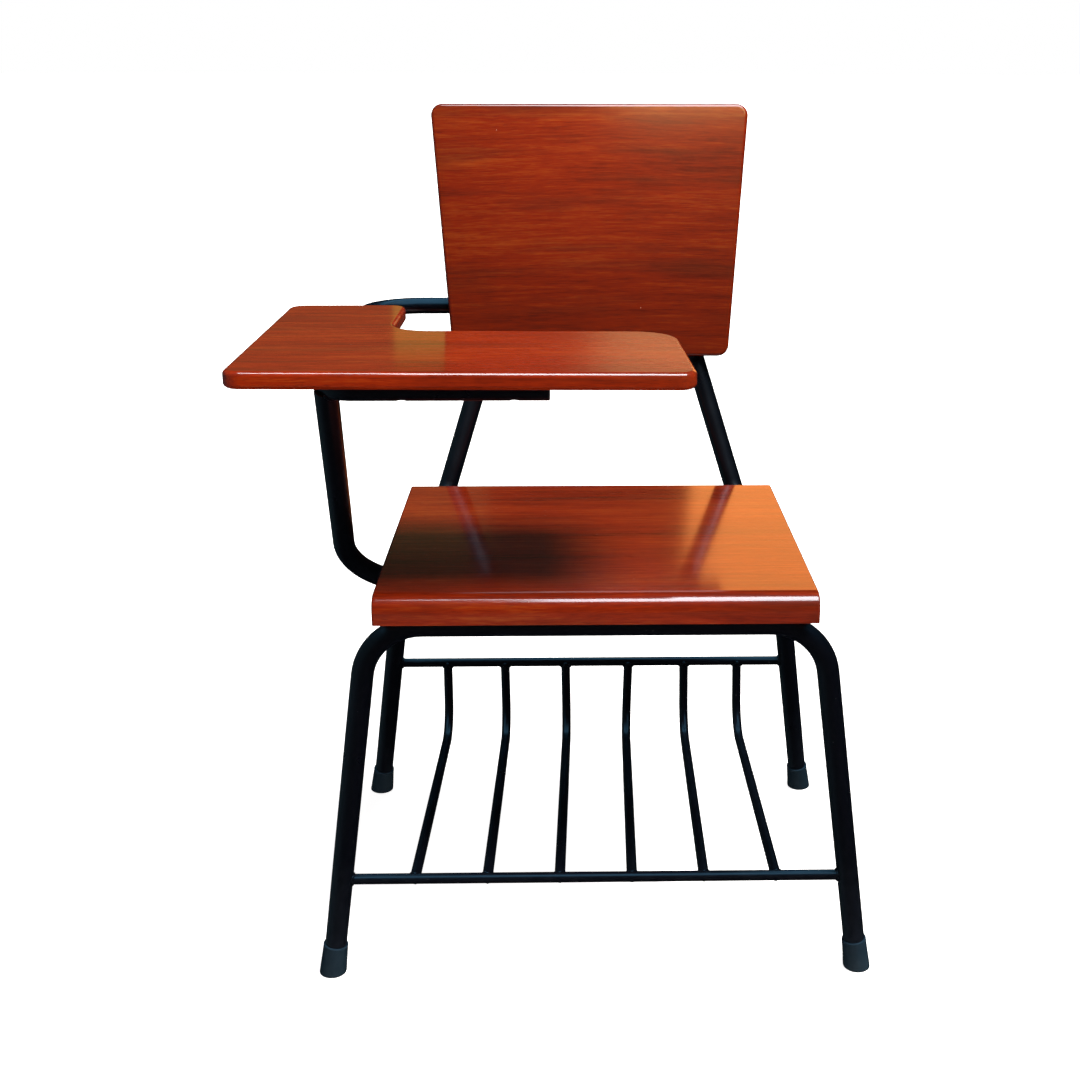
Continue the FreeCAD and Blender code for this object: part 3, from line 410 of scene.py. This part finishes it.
def seams(node, neighbour):
    """The lines along which a tube's cut ends sit on its neighbour, without those of its bore."""
    bm = merged_copy(node)
    other = merged_copy(neighbour)
    skin = BVHTree.FromBMesh(other)
    edges = {edge for edge in bm.edges if len(edge.link_faces) == 2
             and edge.calc_face_angle(0.0) > SHARP_CUT
             and all(skin.find_nearest(vertex.co)[3] < TOUCHING for vertex in edge.verts)}
    chains = []
    while edges:
        chains.append(chain_of(edges))
    bm.free()
    other.free()
    longest = max(length_of(chain) for chain in chains)
    return [chain[:-1] for chain in chains if length_of(chain) > OUTER_RING * longest]


def even_points(ring, count):
    """Points at even distances round a closed ring of points."""
    closed = ring + [ring[0]]
    whole = length_of(closed)
    points = []
    passed = 0.0
    for one, other in zip(closed, closed[1:]):
        step = (other - one).length
        while len(points) < count and len(points) * whole / count <= passed + step:
            along = (len(points) * whole / count - passed) / max(step, 1e-9)
            points.append(one.lerp(other, along))
        passed += step
    return points


def tack_ring(node, x):
    """Ring round the spot where a side rail lies across the top of another tube."""
    bm = merged_copy(node)
    top = max((vertex.co for vertex in bm.verts if abs(vertex.co.x - x) < 4 * TACK_RING),
              key=lambda place: place.z).copy()
    top.x = x
    bm.free()
    ring = []
    for turn in range(RING_POINTS):
        along = TACK_RING * math.cos(turn * math.tau / RING_POINTS)
        across = TACK_RING * math.sin(turn * math.tau / RING_POINTS)
        ring.append(top + Vector((along, across, (along ** 2 - across ** 2) / (4 * TUBE_RADIUS))))
    return ring


def weld_piece(name, rings, bead):
    """Weld beads along closed rings, with ripples and a thicker stop where the welder ended."""
    curve = bpy.data.curves.new(name, "CURVE")
    curve.dimensions = "3D"
    curve.bevel_depth = bead
    curve.bevel_resolution = 2
    for ring in rings:
        count = 2 * round(length_of(ring + [ring[0]]) / BEAD_RIPPLE)
        spline = curve.splines.new("POLY")
        spline.points.add(count - 1)
        spline.use_cyclic_u = True
        for index, (point, place) in enumerate(zip(spline.points, even_points(ring, count))):
            point.co = (place.x, place.y, place.z, 1)
            point.radius = BEAD_SWELL[index % 2] + BEAD_DRIFT * math.sin(index * 0.9)
        spline.points[0].radius, spline.points[1].radius = BEAD_STOP
    drawn = bpy.data.objects.new(name + "_line", curve)
    mesh = bpy.data.meshes.new_from_object(drawn)
    bpy.data.objects.remove(drawn)
    bpy.data.curves.remove(curve)
    mesh.name = name
    mesh.shade_smooth()
    return bpy.data.objects.new(name, mesh)


def finish_piece(piece, material, slot, *replaced):
    """Puts a new piece on the one body, in the place of what it replaces, among the lit pieces."""
    if piece.name not in bpy.context.scene.collection.objects:
        bpy.context.scene.collection.objects.link(piece)
    piece.data.materials.append(material)
    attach(piece, "root")
    if replaced:
        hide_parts(*replaced)
    lit = "screw_heads" if slot == "screw_steel" else "steel_and_caps"
    bpy.data.collections[lit].objects.link(piece)


def make_welds(coat):
    rod_rings = [ring for rod in RODS for rail in RAILS for ring in seams(rod, rail)]
    rail_rings = seams("basket_front_rail", "front_leg_frame") + seams("basket_rear_rail", "rear_leg_frame")
    side_rings = seams("back_frame", "front_leg_frame")
    side_centres = [sum((place.x for place in ring)) / len(ring) for ring in side_rings]
    tacks = [tack_ring("rear_leg_frame", x) for x in side_centres]
    arm_rings = (seams("arm_post", "back_frame") + seams("arm_post", "tablet_support_tube")
                 + seams("tablet_support_tube", "back_frame"))
    for name, rings, bead in (("basket_rod_welds", rod_rings, ROD_BEAD),
                              ("basket_rail_welds", rail_rings, ROD_BEAD),
                              ("seat_frame_welds", side_rings + tacks, TUBE_BEAD),
                              ("arm_welds", arm_rings, TUBE_BEAD)):
        finish_piece(weld_piece(name, rings, bead), coat, "black_powder_coat")


# Foot caps and screws: turned on the axis of the CAD solid that they stand for

CAP_STEPS = 56
SCREW_STEPS = 32
SOLE_BEVEL = 1.8 * MM
CROSS_SLOT = 0.26
CROSS_TAPER = 0.55
SCREW_TWIST = 0.7
FACING = 0.85
SAME_PLANE = 0.999
SAME_LEVEL = 0.05 * MM


def end_face(vertices, towards):
    """Centre, outward and sideways direction, outer and inner radius of a body's flat end."""
    faces = list(dict.fromkeys(face for vertex in vertices for face in vertex.link_faces
                               if face.normal.dot(towards) > FACING and face.calc_area() > 0))
    first = max(faces, key=lambda face: face.calc_center_median().dot(towards))
    outward = first.normal.copy()
    level = first.calc_center_median().dot(outward)
    rim = dict.fromkeys(vertex for face in faces if face.normal.dot(outward) > SAME_PLANE
                        and abs(face.calc_center_median().dot(outward) - level) < SAME_LEVEL
                        for vertex in face.verts)
    side = outward.orthogonal().normalized()
    across = outward.cross(side)
    centre = outward * level
    for axis in (side, across):
        spread = [vertex.co.dot(axis) for vertex in rim]
        centre += axis * (min(spread) + max(spread)) / 2
    distances = [(vertex.co - centre).length for vertex in rim]
    return centre, outward, side, max(distances), min(distances)


def turned(bm, profile, centre, outward, side, steps):
    """Turns a profile of (depth below the end, radius) pairs about the end's axis."""
    points = [bm.verts.new(centre - outward * depth + side * radius) for depth, radius in profile]
    edges = [bm.edges.new(pair) for pair in zip(points, points[1:])]
    bmesh.ops.spin(bm, geom=points + edges, cent=centre, axis=outward, angle=math.tau, steps=steps,
                   use_merge=True, use_duplicate=False)
    bmesh.ops.remove_doubles(bm, verts=bm.verts, dist=0.005 * MM)


def make_foot_cap(node, rubber):
    """Moulded ferrule: rounded mouth, slightly flared wall, sole cut level with the floor."""
    cad = merged_copy(node)
    centre, outward, side, mouth, bore = end_face(cad.verts, Vector((0, 0, 1)))
    to_floor = centre.z / outward.z
    axis_foot = centre - outward * to_floor
    sole = max((vertex.co - axis_foot).length for vertex in cad.verts if vertex.co.z < SAME_LEVEL)
    cad.free()
    deep = to_floor + 20 * MM
    flare = mouth + (sole - mouth) * deep / to_floor
    profile = [(4 * MM, 0), (4 * MM, bore), (0.3 * MM, bore), (0, bore + 0.3 * MM), (0, mouth - 1.1 * MM),
               (0.15 * MM, mouth - 0.6 * MM), (0.5 * MM, mouth - 0.25 * MM), (1.1 * MM, mouth - 0.05 * MM),
               (1.8 * MM, mouth), (2.6 * MM, mouth - 0.12 * MM), (deep, flare)]
    bm = bmesh.new()
    turned(bm, profile, centre, outward, side, CAP_STEPS)
    cut = bmesh.ops.bisect_plane(bm, geom=bm.verts[:] + bm.edges[:] + bm.faces[:], plane_co=(0, 0, 0),
                                 plane_no=(0, 0, 1), clear_inner=True)
    rim = [one for one in cut["geom_cut"] if isinstance(one, bmesh.types.BMEdge)]
    bmesh.ops.holes_fill(bm, edges=rim, sides=0)
    bmesh.ops.recalc_face_normals(bm, faces=bm.faces)
    bmesh.ops.bevel(bm, geom=rim, offset=SOLE_BEVEL, segments=3, profile=0.5, affect="EDGES", material=-1)
    piece = piece_from(bm, node.replace("foot_cap", "foot_ferrule"))
    piece.data.shade_smooth()
    piece.data.set_sharp_from_angle(angle=math.radians(38))
    finish_piece(piece, rubber, "black_rubber", node)


def cross_cutter(name, radius, depth):
    """Cutter for a cross recess in a screw head, in the head's own axes, open towards Z."""
    bm = bmesh.new()
    slot = CROSS_SLOT * radius
    for wide, narrow in ((radius, slot), (slot, radius)):
        made = bmesh.ops.create_cube(bm, size=1.0)["verts"]
        bmesh.ops.scale(bm, vec=(wide, narrow, 2 * depth), verts=made)
        low = [vertex for vertex in made if vertex.co.z < 0]
        bmesh.ops.scale(bm, vec=(CROSS_TAPER, CROSS_TAPER, 1.0), verts=low)
    return piece_from(bm, name)


def make_screws(node, towards, steel):
    """Pan-head screws with a cross recess, each in the place and size of its CAD solid. The cross
    cutter crosses itself, so the cut has to allow for that."""
    cad = merged_copy(node)
    whole = bmesh.new()
    for number, group in enumerate(islands(cad)):
        centre, outward, side, _, _ = end_face(group, Vector(towards))
        depths = [((centre - vertex.co).dot(outward),
                   ((vertex.co - centre) - outward * (vertex.co - centre).dot(outward)).length)
                  for vertex in group]
        head = max(radius for _, radius in depths)
        under = max(depth for depth, radius in depths if radius > 0.9 * head)
        shank = max(radius for depth, radius in depths if depth > 1.3 * under)
        tip = max(depth for depth, _ in depths)
        bm = bmesh.new()
        profile = [(0, 0), (0, 0.45 * head), (0.06 * under, 0.66 * head), (0.25 * under, 0.86 * head),
                   (0.55 * under, 0.97 * head), (0.85 * under, head), (under, 0.97 * head), (under, shank),
                   (tip - shank, shank), (tip, 0.1 * shank), (tip, 0)]
        turned(bm, profile, Vector(), Vector((0, 0, 1)), Vector((1, 0, 0)), SCREW_STEPS)
        bmesh.ops.recalc_face_normals(bm, faces=bm.faces)
        blank = piece_from(bm, "screw_blank")
        cutter = cross_cutter("cross_cutter", 1.05 * head, 0.62 * under)
        cut = blank.modifiers.new("cross_recess", "BOOLEAN")
        cut.operation = "DIFFERENCE"
        cut.object = cutter
        cut.solver = "EXACT"
        cut.use_self = True
        mesh = bpy.data.meshes.new_from_object(
            blank.evaluated_get(bpy.context.evaluated_depsgraph_get()))
        across = outward.cross(side)
        turn = Matrix((side, across, outward)).transposed().to_4x4()
        spun = Matrix.Rotation(SCREW_TWIST * number, 4, "Z")
        mesh.transform(Matrix.Translation(centre) @ turn @ spun)
        whole.from_mesh(mesh)
        for used in (blank, cutter):
            bpy.data.objects.remove(used)
    cad.free()
    piece = piece_from(whole, node.replace("screws", "pan_heads"))
    piece.data.shade_smooth()
    piece.data.set_sharp_from_angle(angle=math.radians(32))
    finish_piece(piece, steel, "screw_steel", node)


# Node groups: mahogany grain, stray dust, orange-peel skin

def make_grain_group():
    """Mahogany cut along X: bands, streaks, fibres and open pores."""
    group, given, out = new_group("mahogany_grain", [
        ("Vector", "vector", None), ("Seed", "value", 0.0), ("Band Contrast", "value", 1.0),
        ("Dark", "color", MAHOGANY_DARK + (1,)), ("Middle", "color", MAHOGANY_MIDDLE + (1,)),
        ("Light", "color", MAHOGANY_LIGHT + (1,)), ("Pore", "color", PORE_BROWN + (1,)),
        ("Brown", "color", MAHOGANY_BROWN + (1,)), ("Brown Figure", "value", 0.6),
        ("Stain And Shade", "value", 1.0),
    ], [("Color", "color"), ("Height", "value"), ("Tone", "value")])
    seed = add(group, "ShaderNodeCombineXYZ", {"X": given.outputs["Seed"], "Y": given.outputs["Seed"],
                                               "Z": given.outputs["Seed"]}).outputs[0]
    place = add(group, "ShaderNodeVectorMath", {0: given.outputs["Vector"], 1: seed},
                operation="ADD").outputs[0]
    sway = math_of(group, "SUBTRACT", drawn_out(group, place, (3, 5, 5), 2.0), 0.5)
    sway = math_of(group, "MULTIPLY", sway, 0.016)
    drift = add(group, "ShaderNodeCombineXYZ", {"X": 0.0, "Y": sway, "Z": sway}).outputs[0]
    swayed = add(group, "ShaderNodeVectorMath", {0: place, 1: drift}, operation="ADD").outputs[0]
    patches = remap(group, drawn_out(group, swayed, (2.2, 11, 11), 2.0), 0.3, 0.7)
    bands = remap(group, drawn_out(group, swayed, (3, 70, 70), 4.0, 0.6), 0.2, 0.8)
    streaks = remap(group, drawn_out(group, swayed, (13, 290, 290), 3.0, 0.6), 0.28, 0.72)
    fibres = remap(group, drawn_out(group, swayed, (55, 1000, 1000), 2.0, 0.6), 0.3, 0.7)
    banded = math_of(group, "MULTIPLY", bands, given.outputs["Band Contrast"])
    tone = math_of(group, "MULTIPLY", patches, 0.22)
    tone = math_of(group, "MULTIPLY_ADD", banded, 0.34, tone)
    tone = math_of(group, "MULTIPLY_ADD", streaks, 0.26, tone)
    tone = math_of(group, "MULTIPLY_ADD", fibres, 0.18, tone)
    dark_half = blend_colours(group, remap(group, tone, 0.22, 0.5), given.outputs["Dark"],
                              given.outputs["Middle"])
    colour = blend_colours(group, remap(group, tone, 0.5, 0.82), dark_half, given.outputs["Light"])
    figure = drawn_out(group, swayed, (4.5, 48, 48), 3.0, 0.6)
    browned = math_of(group, "MULTIPLY", remap(group, figure, 0.50, 0.78), given.outputs["Brown Figure"])
    colour = blend_colours(group, browned, colour, given.outputs["Brown"])
    # Scales the colour by the board's stain and painted shade: partly its own stain, partly painted light
    # and shade for how brightly that board is lit
    colour = add(group, "ShaderNodeVectorMath", {0: colour, "Scale": given.outputs["Stain And Shade"]},
                 operation="SCALE").outputs[0]
    ticks = drawn_out(group, swayed, (70, 2400, 2400), 1.0)
    pores = math_of(group, "MULTIPLY", remap(group, ticks, 0.63, 0.70), 0.55)
    colour = blend_colours(group, pores, colour, given.outputs["Pore"])
    height = math_of(group, "MULTIPLY_ADD", fibres, 0.4, math_of(group, "MULTIPLY", pores, -1.0))
    group.links.new(colour, out.inputs["Color"])
    group.links.new(height, out.inputs["Height"])
    group.links.new(tone, out.inputs["Tone"])
    return group


def make_dust_group():
    """Mask of a few stray specks, and a soft mask that grows towards the floor."""
    group, given, out = new_group("stray_dust", [
        ("Vector", "vector", None), ("Speck Scale", "value", 120.0), ("Speck Size", "value", 0.08),
        ("Low Reach", "value", 0.12),
    ], [("Specks", "value"), ("Low Dust", "value")])
    cells = add(group, "ShaderNodeTexVoronoi", {"Vector": given.outputs["Vector"],
                                                "Scale": given.outputs["Speck Scale"],
                                                "Randomness": 1.0}, feature="F1")
    near = math_of(group, "LESS_THAN", cells.outputs["Distance"], given.outputs["Speck Size"])
    lot = add(group, "ShaderNodeSeparateColor", {"Color": cells.outputs["Color"]}).outputs[0]
    chosen = math_of(group, "GREATER_THAN", lot, 0.93)
    group.links.new(math_of(group, "MULTIPLY", near, chosen), out.inputs["Specks"])
    height = add(group, "ShaderNodeSeparateXYZ", {"Vector": given.outputs["Vector"]}).outputs["Z"]
    low = math_of(group, "SUBTRACT", 1.0, math_of(group, "DIVIDE", height, given.outputs["Low Reach"]))
    ragged = math_of(group, "ADD", low, math_of(group, "SUBTRACT",
                                                noise(group, given.outputs["Vector"], 60.0, 4.0), 0.5))
    group.links.new(remap(group, ragged, 0.1, 1.1), out.inputs["Low Dust"])
    return group


def make_skin_group():
    """Fine unevenness of a sprayed or moulded skin: a height and a slow mask."""
    group, given, out = new_group("uneven_skin", [
        ("Vector", "vector", None), ("Fine Scale", "value", 900.0), ("Slow Scale", "value", 25.0),
    ], [("Height", "value"), ("Slow", "value")])
    fine = noise(group, given.outputs["Vector"], given.outputs["Fine Scale"], 2.0)
    slow = noise(group, given.outputs["Vector"], given.outputs["Slow Scale"], 3.0)
    group.links.new(fine, out.inputs["Height"])
    group.links.new(remap(group, slow, 0.3, 0.7), out.inputs["Slow"])
    return group


# Materials

def mahogany_varnish(groups, name, seed, band_contrast, stain_and_shade, coat_roughness):
    material, tree, shader = new_material(name)
    place = object_place(tree)
    # The stain input darkens or lightens this board's grain colour: partly its own stain, partly painted
    # light and shade for how brightly it is lit
    grain = use_group(tree, groups["grain"], {"Vector": place, "Seed": seed,
                                              "Band Contrast": band_contrast, "Stain And Shade": stain_and_shade})
    dust = use_group(tree, groups["dust"], {"Vector": place, "Speck Scale": 90.0, "Speck Size": 0.045})
    specks = math_of(tree, "MULTIPLY", dust["Specks"], 0.5)
    feed(tree, shader, {
        "Base Color": blend_colours(tree, specks, grain["Color"], VARNISH_SPECK),
        "Roughness": remap(tree, grain["Tone"], 0.0, 1.0, 0.52, 0.40),
        "Specular IOR Level": 0.05, "Coat Weight": 1.0, "Coat Roughness": coat_roughness,
        "Coat IOR": 1.5, "Normal": bumped(tree, grain["Height"], 0.04 * MM)})
    return material


def skin_material(groups, name, fine, slow, roughness, depth):
    """Material with an uneven skin, its tree and shader, the place on it and its slow mask."""
    material, tree, shader = new_material(name)
    place = object_place(tree)
    skin = use_group(tree, groups["skin"], {"Vector": place, "Fine Scale": fine, "Slow Scale": slow})
    feed(tree, shader, {"Roughness": remap(tree, skin["Slow"], 0.0, 1.0, *roughness),
                        "Normal": bumped(tree, skin["Height"], depth)})
    return material, tree, shader, place, skin["Slow"]


def black_powder_coat(groups):
    material, tree, shader, place, _ = skin_material(groups, "black_powder_coat", 750.0, 18.0,
                                                     (0.27, 0.36), 0.05 * MM)
    dust = use_group(tree, groups["dust"], {"Vector": place, "Speck Scale": 150.0, "Speck Size": 0.10,
                                            "Low Reach": 0.16})
    low = math_of(tree, "MULTIPLY", dust["Low Dust"], 0.5)
    specks = math_of(tree, "MULTIPLY", dust["Specks"], 0.35)
    colour = blend_colours(tree, low, COAT_BLACK, COAT_WORN)
    feed(tree, shader, {"Base Color": blend_colours(tree, specks, colour, COAT_SPECK),
                        "Specular IOR Level": 0.5})
    return material


def black_rubber(groups):
    material, tree, shader, place, slow = skin_material(groups, "black_rubber", 1400.0, 60.0,
                                                        (0.60, 0.78), 0.08 * MM)
    dust = use_group(tree, groups["dust"], {"Vector": place, "Speck Scale": 260.0, "Speck Size": 0.12,
                                            "Low Reach": 0.05})
    low = math_of(tree, "MULTIPLY", dust["Low Dust"], 0.5)
    dusty = math_of(tree, "MULTIPLY_ADD", slow, 0.35, low)
    feed(tree, shader, {"Base Color": blend_colours(tree, dusty, RUBBER_GREY, RUBBER_DUSTY),
                        "Specular IOR Level": 0.4})
    return material


def black_plastic(groups):
    material, tree, shader, _, slow = skin_material(groups, "black_plastic", 2000.0, 80.0,
                                                    (0.42, 0.55), 0.04 * MM)
    feed(tree, shader, {"Base Color": blend_colours(tree, slow, PLASTIC_BLACK, COAT_WORN)})
    return material


def screw_steel(groups):
    material, tree, shader, _, slow = skin_material(groups, "screw_steel", 2600.0, 300.0,
                                                    (0.28, 0.48), 0.03 * MM)
    feed(tree, shader, {"Base Color": blend_colours(tree, slow, ZINC, ZINC_DULL), "Metallic": 1.0})
    return material


def dress(node, material):
    """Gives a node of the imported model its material."""
    slots = NODES[node].material_slots
    if not slots:
        NODES[node].data.materials.append(material)
    for slot in slots:
        slot.material = material


make_camera()
make_lights()
make_world()
make_floor()
bpy.context.scene.view_settings.view_transform = "Standard"

groups = {"grain": make_grain_group(), "dust": make_dust_group(), "skin": make_skin_group()}
for board, finish in BOARD_FINISH.items():
    dress(board, mahogany_varnish(groups, *finish))
coat = black_powder_coat(groups)
for node in COATED:
    dress(node, coat)
dress("tablet_support_plug", black_plastic(groups))

make_welds(coat)
rubber = black_rubber(groups)
for cap in CAPS:
    make_foot_cap(cap, rubber)
steel = screw_steel(groups)
for node, towards in (("seat_screws", (0, 0, -1)), ("tablet_screws", (0, 0, -1)),
                      ("backrest_screws", (0, 1, 0))):
    make_screws(node, towards, steel)
